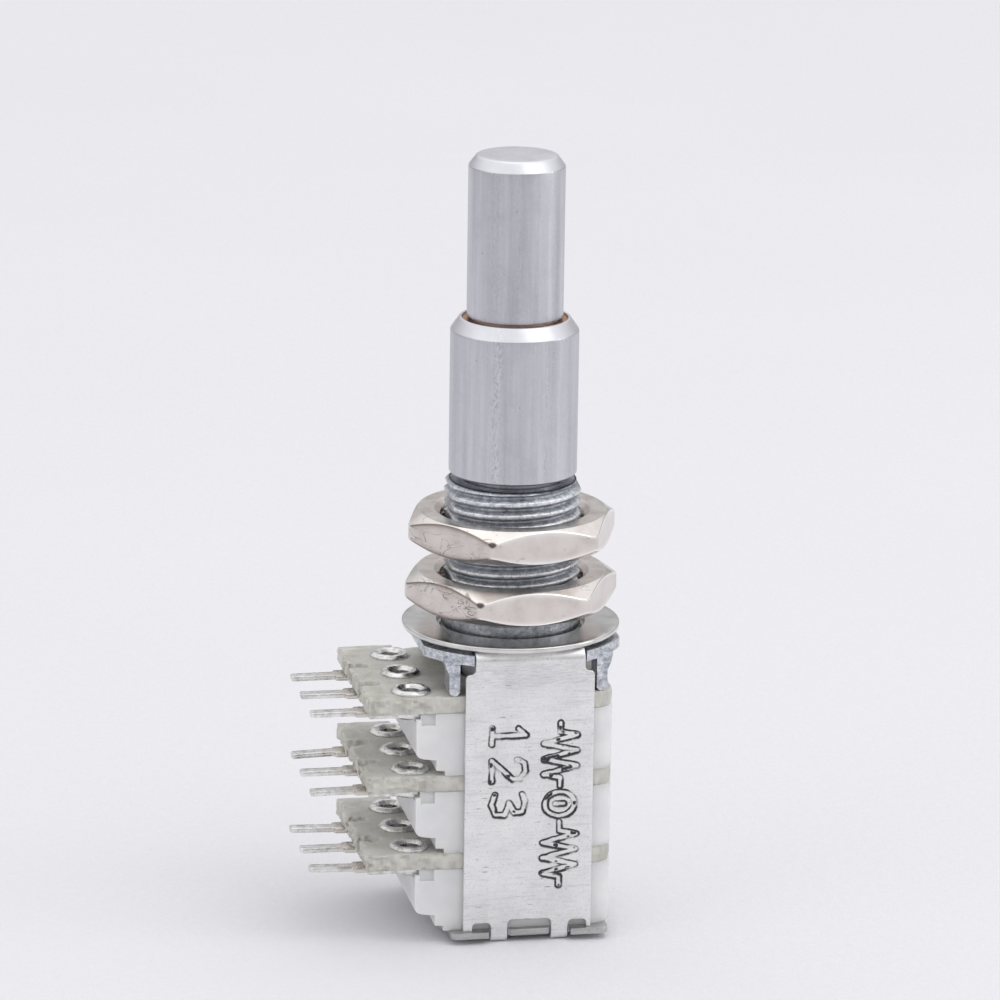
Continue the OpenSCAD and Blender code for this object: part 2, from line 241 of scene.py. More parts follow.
def plate(outer, holes, t, place, rim=0.04, grid=(), seg=2, rough=None):
    """a sheet cut to an outline, with rounded rims. place(x, y, w) gives 3-D points, w from 0 (top) to t."""
    loops = [outer if area2(outer) > 0 else outer[::-1]]
    for h in holes:
        loops.append(h if area2(h) < 0 else h[::-1])
    rows = []      # (inset, depth)
    for k in range(seg + 1):
        a = math.pi / 2 * k / seg
        rows.append((rim * (1 - math.sin(a)), rim * (1 - math.cos(a))))
    side = [rows[-1][1] + (t - 2 * rim) * f for f in (0.2, 0.4, 0.6, 0.8)] if rough else []
    rows += [(0.0, d) for d in side]
    for k in range(seg, -1, -1):
        a = math.pi / 2 * k / seg
        rows.append((rim * (1 - math.sin(a)), t - rim * (1 - math.cos(a))))
    verts, faces = [], []
    tops, bots = [], []
    for li, lp in enumerate(loops):
        base, n = len(verts), len(lp)
        for ri, (ins, dep) in enumerate(rows):
            d = ins
            if rough:
                d = ins + rough(lp[:, 0], lp[:, 1], dep, li)
            q = inset(lp, d)
            for x, y in q:
                verts.append((x, y, dep))
        for ri in range(len(rows) - 1):
            for i in range(n):
                i2 = (i + 1) % n
                a, b = base + ri * n, base + (ri + 1) * n
                faces.append((a + i, b + i, b + i2, a + i2))
        tops.append((base, n))
        bots.append((base + (len(rows) - 1) * n, n))
    flat = np.array(verts)
    for which, depth, rings in ((0, 0.0, tops), (1, t, bots)):
        pts, edges, idx = [], [], []
        for b, n in rings:
            s = len(pts)
            pts += [Vector((flat[b + i, 0], flat[b + i, 1])) for i in range(n)]
            idx += [b + i for i in range(n)]
            edges += [(s + i, s + (i + 1) % n) for i in range(n)]
        g = grid[which] if len(grid) > which and grid[which] is not None else None
        nb = len(pts)
        if g is not None and len(g):
            o = flat[rings[0][0]:rings[0][0] + rings[0][1], :2]
            keep = inside(o, g) & ~near(o, g, 0.03)
            for b, n in rings[1:]:
                h = flat[b:b + n, :2]
                keep &= ~inside(h, g) & ~near(h, g, 0.03)
            g = g[keep]
            pts += [Vector((float(a), float(c))) for a, c in g]
        vo, _, fo, orig, _, _ = delaunay_2d_cdt(pts, edges, [], 0, 1e-7)
        remap = []
        for k, v in enumerate(vo):
            src = [q for q in orig[k]]
            if src and src[0] < nb:
                remap.append(idx[src[0]])
            else:
                remap.append(len(verts))
                verts.append((v[0], v[1], depth))
        cen = np.array([[sum(vo[q][0] for q in f) / len(f), sum(vo[q][1] for q in f) / len(f)] for f in fo])
        o = flat[rings[0][0]:rings[0][0] + rings[0][1], :2]
        ok = inside(o, cen)
        for b, n in rings[1:]:
            ok &= ~inside(flat[b:b + n, :2], cen)
        for f, good in zip(fo, ok):
            if good:
                q = [remap[i] for i in f]
                if len(set(q)) == len(q):
                    faces.append(tuple(q if which == 0 else q[::-1]))
    v = np.array(verts)
    return place(v[:, 0], v[:, 1], v[:, 2]), faces, v


def circle(cx, cy, r, n=48, a0=0.0):
    a = np.arange(n) * 2 * math.pi / n + a0
    return np.stack([cx + r * np.cos(a), cy + r * np.sin(a)], 1)


def join(parts):
    V, F, n = [], [], 0
    for v, f in parts:
        V.append(np.asarray(v, float))
        F += [tuple(i + n for i in q) for q in f]
        n += len(v)
    return np.concatenate(V), F


# ------------------------------------------------------------------ materials
class Mat:
    """small helper that builds a node tree in object space, in millimetres"""

    def __init__(self, name, color, rough, metal=0.0, **sock):
        self.m = bpy.data.materials.new(name)
        self.m.use_nodes = True
        self.nt = self.m.node_tree
        self.n = self.nt.nodes
        self.b = self.n["Principled BSDF"]
        self.b.inputs["Base Color"].default_value = (*color, 1)
        self.b.inputs["Roughness"].default_value = rough
        self.b.inputs["Metallic"].default_value = metal
        for k, v in sock.items():
            self.b.inputs[k.replace("_", " ")].default_value = v
        self.coord = self.n.new("ShaderNodeTexCoord").outputs["Object"]
        self.h = None

    def link(self, a, b):
        self.nt.links.new(a, b)

    def mapped(self, scale=(1000, 1000, 1000), loc=(0, 0, 0), rot=(0, 0, 0)):
        m = self.n.new("ShaderNodeMapping")
        self.link(self.coord, m.inputs["Vector"])
        m.inputs["Scale"].default_value = scale
        m.inputs["Location"].default_value = loc
        m.inputs["Rotation"].default_value = rot
        return m.outputs["Vector"]

    def noise(self, scale=1.0, detail=3.0, rough=0.5, stretch=(1, 1, 1), dist=0.0, loc=(0, 0, 0), vec=None):
        t = self.n.new("ShaderNodeTexNoise")
        t.inputs["Scale"].default_value = scale
        t.inputs["Detail"].default_value = detail
        t.inputs["Roughness"].default_value = rough
        t.inputs["Distortion"].default_value = dist
        self.link(vec or self.mapped(tuple(1000 * s for s in stretch), loc), t.inputs["Vector"])
        return t.outputs["Fac"]

    def voronoi(self, scale=1.0, stretch=(1, 1, 1), feature="F1", loc=(0, 0, 0), vec=None, rand=1.0):
        t = self.n.new("ShaderNodeTexVoronoi")
        t.feature = feature
        t.inputs["Scale"].default_value = scale
        t.inputs["Randomness"].default_value = rand
        self.link(vec or self.mapped(tuple(1000 * s for s in stretch), loc), t.inputs["Vector"])
        return t.outputs["Distance"]

    def ramp(self, fac, stops, interp="LINEAR"):
        r = self.n.new("ShaderNodeValToRGB")
        r.color_ramp.interpolation = interp
        el = r.color_ramp.elements
        while len(el) < len(stops):
            el.new(0.5)
        for e, (p, c) in zip(el, stops):
            e.position = p
            e.color = (*c, 1) if len(c) == 3 else c
        self.link(fac, r.inputs["Fac"])
        return r.outputs["Color"]

    def maprange(self, fac, a, b, c, d, clamp=True):
        m = self.n.new("ShaderNodeMapRange")
        m.clamp = clamp
        for k, v in zip(("From Min", "From Max", "To Min", "To Max"), (a, b, c, d)):
            m.inputs[k].default_value = v
        self.link(fac, m.inputs["Value"])
        return m.outputs["Result"]

    def math(self, op, a, b=None):
        m = self.n.new("ShaderNodeMath")
        m.operation = op
        for i, v in enumerate((a, b)):
            if v is None:
                continue
            if isinstance(v, (int, float)):
                m.inputs[i].default_value = v
            else:
                self.link(v, m.inputs[i])
        return m.outputs[0]

    def mix(self, fac, a, b, blend="MIX"):
        m = self.n.new("ShaderNodeMix")
        m.data_type = "RGBA"
        m.blend_type = blend
        for k, v in ((0, fac), (6, a), (7, b)):
            if isinstance(v, (int, float)):
                m.inputs[k].default_value = v
            elif isinstance(v, tuple):
                m.inputs[k].default_value = (*v, 1)
            else:
                self.link(v, m.inputs[k])
        return m.outputs[2]

    def color(self, out):
        self.link(out, self.b.inputs["Base Color"])

    def rough(self, out):
        self.link(out, self.b.inputs["Roughness"])

    def bump(self, out, strength=0.3, dist=0.02):
        b = self.n.new("ShaderNodeBump")
        b.inputs["Strength"].default_value = strength
        b.inputs["Distance"].default_value = dist * 0.001
        self.link(out, b.inputs["Height"])
        if self.h is not None:
            self.link(self.h, b.inputs["Normal"])
        self.h = b.outputs["Normal"]
        self.link(self.h, self.b.inputs["Normal"])

    def sep(self):
        s = self.n.new("ShaderNodeSeparateXYZ")
        self.link(self.mapped(), s.inputs[0])
        return s.outputs

    def attr(self, name):
        a = self.n.new("ShaderNodeAttribute")
        a.attribute_name = name
        return a.outputs["Fac"]


def mat_shaft():
    m = Mat("shaft_metal", (0.5, 0.5, 0.54), 0.36, 1.0)
    band = m.noise(1.0, 3, 0.55, (0.75, 0.75, 0.035), loc=(3, 1, 2))
    streak = m.noise(1.0, 4, 0.65, (5.0, 5.0, 0.16))
    fine = m.noise(1.0, 3, 0.7, (15, 15, 5.0))
    blot = m.noise(0.55, 4, 0.6)
    rub = m.noise(1.0, 4, 0.75, (6.5, 6.5, 3.6))
    sc = m.attr("scuff")
    c = m.ramp(band, [(0.32, (0.485, 0.485, 0.515)), (0.5, (0.585, 0.585, 0.625)), (0.66, (0.67, 0.67, 0.715))])
    c = m.mix(m.maprange(streak, 0.34, 0.60, 0.26, 0.0), c, (0.38, 0.385, 0.41))
    c = m.mix(m.maprange(fine, 0.45, 0.75, 0.0, 0.4), c, (0.74, 0.74, 0.78))
    c = m.mix(m.maprange(blot, 0.5, 0.3, 0.0, 0.3), c, (0.42, 0.42, 0.445))
    pit = m.voronoi(1.15, (1.0, 1.0, 0.8))
    c = m.mix(m.maprange(pit, 0.03, 0.07, 0.6, 0.0), c, (0.20, 0.20, 0.21))
    worn = m.math("MULTIPLY", sc, m.maprange(rub, 0.42, 0.62, 0.0, 1.0))
    c = m.mix(m.math("MULTIPLY", worn, 0.6), c, (0.74, 0.74, 0.78))
    dull = m.math("MULTIPLY", sc, m.maprange(rub, 0.5, 0.34, 0.0, 0.55))
    c = m.mix(dull, c, (0.30, 0.305, 0.33))
    # painted highlight: the turned ends and chamfers are painted brighter than the sides, standing in for the overhead
    # light they reflect
    c = m.mix(m.math("MULTIPLY", m.attr("end_highlight"), 0.68), c, (0.86, 0.86, 0.895))
    m.color(c)
    m.rough(m.maprange(m.math("ADD", m.math("MULTIPLY", streak, 0.5), m.math("MULTIPLY", blot, 0.5)), 0.3, 0.7, 0.30, 0.46))
    m.bump(fine, 0.3, 0.006)
    m.bump(streak, 0.3, 0.01)
    m.bump(worn, 0.5, 0.02)
    return m.m


def mat_zinc(name="zinc_thread", k=1.4):
    m = Mat(name, (0.42, 0.44, 0.46), 0.34, 1.0)
    a = m.noise(3.2, 5, 0.7)
    b = m.noise(9.0, 3, 0.65)
    f = m.noise(1.0, 4, 0.7, (1.4, 1.4, 5.0))
    c = m.ramp(a, [(0.3, (0.22 * k, 0.24 * k, 0.265 * k)), (0.5, (0.42 * k, 0.44 * k, 0.47 * k)), (0.7, (0.68 * k, 0.695 * k, 0.72 * k))])
    c = m.mix(m.maprange(f, 0.5, 0.36, 0.0, 0.5), c, (0.16, 0.17, 0.19))
    # painted highlight: random bright flecks stand in for glints
    c = m.mix(m.maprange(b, 0.56, 0.7, 0.0, 0.8), c, (0.86, 0.87, 0.89))
    # painted shade: the thread grooves and the plain part below the thread are darkened
    c = m.mix(m.math("MULTIPLY", m.attr("groove_and_ring_shade"), 0.5), c, (0.10, 0.11, 0.13))
    # painted highlight: the thread crests are lightened
    c = m.mix(m.math("MULTIPLY", m.attr("crest_highlight"), m.maprange(a, 0.36, 0.6, 0.1, 0.8)), c, (0.88, 0.89, 0.91))
    m.color(c)
    m.rough(m.maprange(b, 0.3, 0.7, 0.22, 0.48))
    m.bump(a, 0.8, 0.05)
    m.bump(f, 0.5, 0.03)
    m.bump(b, 0.6, 0.016)
    return m.m


def mat_nickel(name="nickel", lo=(0.66, 0.60, 0.555), mid=(0.79, 0.735, 0.69), hi=(0.86, 0.82, 0.78), r0=0.15, r1=0.30, crack_and_shade=1.0):
    m = Mat(name, mid, 0.2, 1.0)
    blot = m.noise(0.8, 4, 0.55)
    fine = m.noise(14.0, 3, 0.6)
    scr = m.noise(1.0, 2, 0.5, (2.0, 3.0, 34.0))
    pit = m.voronoi(1.5)
    # shallow cracks in the plating, only here and there
    warp = m.noise(0.55, 3, 0.55, (1, 1, 2.6), 0.5, loc=(4, 2, 9))
    where = m.noise(0.30, 2, 0.5, loc=(1.5, 0.4, 0.0))
    line = m.math("ABSOLUTE", m.math("SUBTRACT", warp, 0.5))
    gate = m.noise(0.5, 2, 0.5, loc=(7, 3, 1))
    zone = m.math("ADD", m.maprange(where, 0.58, 0.66, 0.0, 0.4), m.math("MULTIPLY", m.attr("crack_and_shade"), m.maprange(gate, 0.44, 0.54, 0.12, 0.9)))
    vein = m.math("MULTIPLY", m.maprange(line, 0.003, 0.013, 1.0, 0.0), m.math("MULTIPLY", zone, crack_and_shade))
    vein = m.math("MINIMUM", vein, 1.0)
    c = m.ramp(blot, [(0.3, lo), (0.52, mid), (0.75, hi)])
    c = m.mix(m.math("MULTIPLY", m.maprange(pit, 0.03, 0.075, 1.0, 0.0), 0.7), c, (0.16, 0.11, 0.09))
    c = m.mix(m.math("MULTIPLY", vein, 0.95), c, (0.11, 0.08, 0.065))
    flat = m.attr("flat")
    # painted highlight: the chamfer cones are lightened
    c = m.mix(m.math("MULTIPLY", m.attr("cone"), 0.35), c, (0.97, 0.93, 0.90))
    # painted shade: the wall flats are darkened, the cracked flat a little more
    c = m.mix(m.math("MULTIPLY", flat, 0.15), c, (0.30, 0.27, 0.25))
    c = m.mix(m.math("MULTIPLY", m.math("MULTIPLY", flat, m.attr("crack_and_shade")), 0.12), c, (0.30, 0.25, 0.22))
    # painted highlight: a bright line along the arris between cone and wall, painted dark as shade on the cracked flat
    line_ = m.math("POWER", m.attr("arris"), 4.5)
    c = m.mix(m.math("MULTIPLY", line_, 0.8), c, m.mix(m.attr("crack_and_shade"), (1.0, 0.985, 0.96), (0.16, 0.12, 0.10)))
    c = m.mix(m.maprange(m.attr("burr"), 0.25, 0.6, 0.0, 0.92), c, (0.05, 0.035, 0.03))
    m.color(c)
    m.rough(m.maprange(m.math("ADD", m.math("MULTIPLY", blot, 0.7), m.math("MULTIPLY", fine, 0.3)), 0.3, 0.75, r0, r1))
    m.bump(m.maprange(pit, 0.0, 0.09, 0.0, 1.0), 0.4, 0.012)
    m.bump(m.math("SUBTRACT", 1.0, vein), 0.8, 0.03)
    m.bump(scr, 0.10, 0.005)
    m.bump(blot, 0.10, 0.02)
    return m.m


def mat_sheet(name="tin_sheet", k=1.0):
    m = Mat(name, (0.72, 0.72, 0.72), 0.36, 1.0)
    scr = m.noise(1.0, 5, 0.7, (0.45, 0.45, 9.0))
    blot = m.noise(0.32, 5, 0.6)
    nick = m.voronoi(1.0, (0.8, 1.0, 5.0))
    gate = m.noise(0.55, 3, 0.6, loc=(2, 0, 5))
    speck = m.voronoi(1.3)
    fine = m.noise(6.0, 4, 0.65)
    c = m.ramp(blot, [(0.28, (0.73 * k, 0.73 * k, 0.73 * k)), (0.5, (0.86 * k, 0.86 * k, 0.857 * k)), (0.74, (0.95 * k, 0.95 * k, 0.945 * k))])
    c = m.mix(m.maprange(scr, 0.53, 0.70, 0.0, 0.5), c, (0.55 * k, 0.55 * k, 0.55 * k))
    c = m.mix(m.maprange(fine, 0.52, 0.72, 0.0, 0.45), c, (0.50 * k, 0.50 * k, 0.50 * k))
    c = m.mix(m.maprange(scr, 0.42, 0.28, 0.0, 0.4), c, (0.93 * k, 0.93 * k, 0.925 * k))
    dash = m.math("MULTIPLY", m.maprange(nick, 0.12, 0.22, 1.0, 0.0), m.maprange(gate, 0.50, 0.66, 0.0, 0.75))
    c = m.mix(dash, c, (0.26, 0.25, 0.24))
    c = m.mix(m.maprange(speck, 0.035, 0.07, 0.65, 0.0), c, (0.14, 0.13, 0.13))
    # a rubbed band just below the bend
    z = m.sep()[2]
    band = m.math("MULTIPLY", m.maprange(z, -2.5, -2.1, 0.0, 1.0), m.maprange(z, -0.9, -0.7, 1.0, 0.0))
    rub = m.noise(1.0, 4, 0.75, (1.3, 1.3, 16.0))
    c = m.mix(m.math("MULTIPLY", band, m.maprange(rub, 0.46, 0.62, 0.0, 0.6)), c, (0.52, 0.52, 0.53))
    # painted shade: the walls of the pressed strokes are darkened almost to black, with dark blotches inside the
    # strokes
    st = m.attr("stamp_shade_and_blotches")
    c = m.mix(m.maprange(m.math("MULTIPLY", st, m.maprange(fine, 0.3, 0.7, 0.75, 1.25)), 0.2, 0.6, 0.0, 0.96), c, (0.03, 0.03, 0.035))
    m.color(c)
    m.rough(m.maprange(m.math("ADD", m.math("MULTIPLY", scr, 0.4), m.math("MULTIPLY", blot, 0.6)), 0.3, 0.7, 0.30, 0.46))
    m.bump(scr, 0.10, 0.005)
    m.bump(dash, 0.3, 0.01)
    m.bump(fine, 0.2, 0.008)
    return m.m


def mat_tin():
    m = Mat("tin", (0.66, 0.655, 0.64), 0.24, 1.0)
    a = m.noise(2.2, 4, 0.6)
    b = m.noise(11.0, 3, 0.6)
    x = m.sep()[0]
    c = m.ramp(a, [(0.32, (0.52, 0.51, 0.485)), (0.5, (0.77, 0.763, 0.745)), (0.7, (0.93, 0.925, 0.915))])
    root = m.math("MULTIPLY", m.math("MULTIPLY", m.maprange(x, -11.6, -10.3, 0.0, 1.0), m.maprange(x, -9.9, -9.0, 1.0, 0.0)), m.maprange(a, 0.35, 0.6, 0.2, 0.9))
    c = m.mix(m.math("MULTIPLY", root, 0.5), c, (0.42, 0.31, 0.21))
    m.color(c)
    m.rough(m.maprange(a, 0.3, 0.7, 0.17, 0.38))
    m.bump(a, 0.18, 0.02)
    m.bump(b, 0.12, 0.006)
    return m.m


def mat_board():
    m = Mat("board", (0.55, 0.57, 0.47), 0.5, 0.0, Subsurface_Weight=0.25, Specular_IOR_Level=0.5)
    m.b.inputs["Subsurface Radius"].default_value = (0.6, 0.6, 0.45)
    m.b.inputs["Subsurface Scale"].default_value = 0.001
    blot = m.noise(0.7, 5, 0.6, (1, 1, 0.6), 0.6)
    fine = m.noise(5.0, 4, 0.65)
    wx = m.noise(1.0, 2, 0.5, (9.0, 1.2, 3.0))
    wy = m.noise(1.0, 2, 0.5, (1.2, 9.0, 3.0))
    weave = m.math("ADD", m.math("MULTIPLY", wx, 0.5), m.math("MULTIPLY", wy, 0.5))
    lay = m.noise(1.0, 2, 0.5, (0.6, 0.6, 12.0))
    c = m.ramp(blot, [(0.28, (0.40, 0.385, 0.32)), (0.5, (0.525, 0.513, 0.465)), (0.74, (0.64, 0.63, 0.60))])
    c = m.mix(m.maprange(weave, 0.4, 0.62, 0.0, 0.30), c, (0.66, 0.66, 0.62))
    c = m.mix(m.maprange(lay, 0.5, 0.66, 0.0, 0.25), c, (0.60, 0.58, 0.50))
    dirt = m.voronoi(0.9, (1.0, 1.0, 1.6), loc=(3, 5, 1))
    c = m.mix(m.maprange(dirt, 0.04, 0.13, 0.5, 0.0), c, (0.27, 0.24, 0.19))
    edge = m.attr("chip")
    c = m.mix(m.maprange(edge, 0.1, 1.0, 0.0, 0.75), c, (0.80, 0.80, 0.74))
    m.color(c)
    m.rough(m.maprange(fine, 0.3, 0.7, 0.38, 0.62))
    m.bump(weave, 0.3, 0.02)
    m.bump(fine, 0.35, 0.02)
    m.bump(blot, 0.4, 0.07)
    return m.m


def mat_white():
    m = Mat("white_plastic", (0.80, 0.81, 0.815), 0.42, 0.0, Subsurface_Weight=0.75, Specular_IOR_Level=0.45)
    m.b.inputs["Subsurface Radius"].default_value = (1.2, 1.2, 1.3)
    m.b.inputs["Subsurface Scale"].default_value = 0.001
    a = m.noise(0.6, 3, 0.5)
    b = m.noise(6.0, 3, 0.6)
    sp = m.voronoi(0.55, (1.0, 1.0, 0.8))
    c = m.ramp(a, [(0.3, (0.72, 0.725, 0.74)), (0.7, (0.80, 0.80, 0.80))])
    c = m.mix(m.maprange(sp, 0.03, 0.05, 0.6, 0.0), c, (0.22, 0.21, 0.20))
    m.color(c)
    m.rough(m.maprange(b, 0.3, 0.7, 0.36, 0.5))
    m.bump(b, 0.15, 0.012)
    m.bump(a, 0.1, 0.05)
    return m.m


def mat_simple(name, lo, hi, r0, r1, metal, scale=3.0, bump=0.01):
    m = Mat(name, lo, (r0 + r1) / 2, metal)
    a = m.noise(scale, 4, 0.6)
    b = m.noise(scale * 4, 3, 0.6)
    m.color(m.ramp(a, [(0.3, lo), (0.7, hi)]))
    m.rough(m.maprange(b, 0.3, 0.7, r0, r1))
    m.bump(b, 0.3, bump)
    return m.m


def mat_floor():
    m = Mat("floor", (0.80, 0.80, 0.82), 0.95, 0.0, Specular_IOR_Level=0.1)
    a = m.noise(0.02, 4, 0.55)
    b = m.noise(1.6, 4, 0.7)
    c = m.ramp(a, [(0.3, (0.80, 0.793, 0.820)), (0.7, (0.812, 0.806, 0.832))])
    c = m.mix(m.maprange(b, 0.4, 0.75, 0.0, 0.14), c, (0.73, 0.725, 0.755))
    m.color(c)
    m.bump(b, 0.35, 0.25)
    m.bump(a, 0.2, 1.5)
    return m.m


SHAFT, ZINC, NICKEL, SHEET, TIN = mat_shaft(), mat_zinc(), mat_nickel(), mat_sheet(), mat_tin()
CAST = mat_zinc("zinc_casting", 1.4)
WASHER = mat_nickel("washer_plate", (0.60, 0.59, 0.575), (0.72, 0.71, 0.695), (0.80, 0.79, 0.775), 0.16, 0.30, 0.4)
BOARD, WHITE = mat_board(), mat_white()
BRONZE = mat_simple("bronze", (0.40, 0.20, 0.10), (0.62, 0.36, 0.20), 0.25, 0.4, 1.0)
SPRING = mat_simple("spring_bronze", (0.60, 0.42, 0.20), (0.75, 0.56, 0.30), 0.22, 0.36, 1.0)
CLIP = mat_simple("clip_steel", (0.10, 0.10, 0.11), (0.22, 0.22, 0.24), 0.3, 0.5, 1.0)
INK = mat_simple("ink", (0.02, 0.02, 0.022), (0.05, 0.05, 0.05), 0.5, 0.7, 0.0, 6.0)
ROTOR = mat_simple("rotor_plastic", (0.68, 0.66, 0.60), (0.78, 0.76, 0.70), 0.4, 0.55, 0.0, 2.0)

# ------------------------------------------------------------------ levels of the CAD model, in mm
def lo_hi(n):
    a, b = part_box(n)
    return np.array(a) * 1000, np.array(b) * 1000


TOP = {g: lo_hi(f"board_{g}")[1][2] for g in (1, 2, 3)}
UNDER = {g: lo_hi(f"board_{g}")[0][2] for g in (1, 2, 3)}
STACK = lo_hi("housing_3")[0][2]
FOOT = lo_hi("bracket")[0][2]
IN_TOP = lo_hi("inner_shaft")[1][2]
OUT_TOP = lo_hi("outer_shaft")[1][2]
BUSH_TOP = lo_hi("bushing")[1][2]

# ------------------------------------------------------------------ shafts
def flat_fn(zf, half, zt=1e9):
    """turned shape with two flats, below zf"""
    def fn(T, R, Z):
        lim = half / np.maximum(np.abs(np.sin(T)), 1e-6)
        w = smooth(zf + 0.05, zf - 0.05, Z)
        Rf = np.minimum(R, lim)
        R2 = R + (Rf - R) * w
        return R2 * np.cos(T), R2 * np.sin(T), Z
    return fn


def scuffs(v, bands):
    """rubbed stripes along a shaft; bands are (angle in degrees, half width in mm)"""
    a = np.arctan2(v[:, 1], v[:, 0])
    r = np.hypot(v[:, 0], v[:, 1])
    out = np.zeros(len(v))
    for ang, wid in bands:
        d = (a - math.radians(ang) + math.pi) % (2 * math.pi) - math.pi
        d = d * r + 0.08 * vnoise(v[:, 2] * 0.7, ang, 0, 3)
        out = np.maximum(out, np.exp(-(d / wid) ** 2))
    return out


def inner_shaft():
    z0 = STACK + 0.3
    zc = TOP[3] + 0.1
    zs = OUT_TOP - 2.15
    p = [(0, z0), (1.5, z0, 0.08), (1.5, STACK + 0.75), (2, STACK + 0.75, 0.06), (2, zc), (1.6, zc), (1.6, zc + 0.37), (2, zc + 0.37),
         (2, zs), (2.75, zs), (2.75, OUT_TOP + 0.06), (3, OUT_TOP + 0.06, 0.07), (3, IN_TOP - 0.67, 0.16), (2.5, IN_TOP, 0.30), (0, IN_TOP)]
    pr = fillet(p, seg=4)
    pr = dense(pr, 0.6)
    fn = flat_fn(UNDER[3] - 0.4, 1.5)
    def fn2(T, R, Z):
        # faint turned ring on the end face
        Z = Z - 0.02 * smooth(0.6, 0.0, R) * (Z > IN_TOP - 1e-4)
        return fn(T, R, Z)
    v, f = lathe(pr, 240, closed=False, fn=fn2)
    return build("inner_shaft_turned", v, f, SHAFT, "inner_spindle", "inner_shaft", sharp=28,
                 attr={"scuff": 0.3 * scuffs(v, ((-125, 0.35), (-95, 0.2), (60, 0.3))),
                       # this mask marks the turned end and chamfer, where the shaft material paints a highlight
                       "end_highlight": smooth(IN_TOP - 0.70, IN_TOP - 0.62, v[:, 2])})


def outer_shaft():
    z0 = UNDER[2] - 3.05
    b = 2.05
    zb = BUSH_TOP + 0.4
    p = [(b, z0), (3, z0, 0.06), (3, -1.72), (2.65, -1.72), (2.65, -1.3), (3, -1.3), (3, zb), (3.86, zb), (4.0, zb + 0.14, 0.08),
         (4, OUT_TOP - 0.78, 0.18), (3.45, OUT_TOP, 0.12), (3.3, OUT_TOP, 0.03), (3.3, OUT_TOP - 2.4), (b, OUT_TOP - 2.4)]
    pr = dense(fillet(p, closed=True, seg=4), 0.35, closed=True)
    v, f = lathe(pr, 360, closed=True, fn=flat_fn(UNDER[1] - 0.4, 2.5))
    return build("outer_shaft_turned", v, f, SHAFT, "outer_spindle", "outer_shaft", sharp=28,
                 attr={"scuff": scuffs(v, ((-116, 0.30), (-71, 0.05), (40, 0.4))),
                       # this mask marks the turned end and chamfer, where the shaft material paints a highlight
                       "end_highlight": smooth(OUT_TOP - 0.81, OUT_TOP - 0.73, v[:, 2])})


def bearing_ring():
    z1 = OUT_TOP - 0.12
    z0 = OUT_TOP - 2.4
    p = [(2.8, z0), (3.3, z0), (3.3, z1, 0.05), (2.8, z1, 0.05)]
    v, f = lathe(fillet(p, closed=True, seg=3), 128, closed=True)
    return build("bearing_ring_turned", v, f, BRONZE, "outer_spindle", "bearing_ring", sharp=35)


inner_shaft()
outer_shaft()
bearing_ring()

# ------------------------------------------------------------------ bushing: cut thread above, casting below
PITCH = 0.75


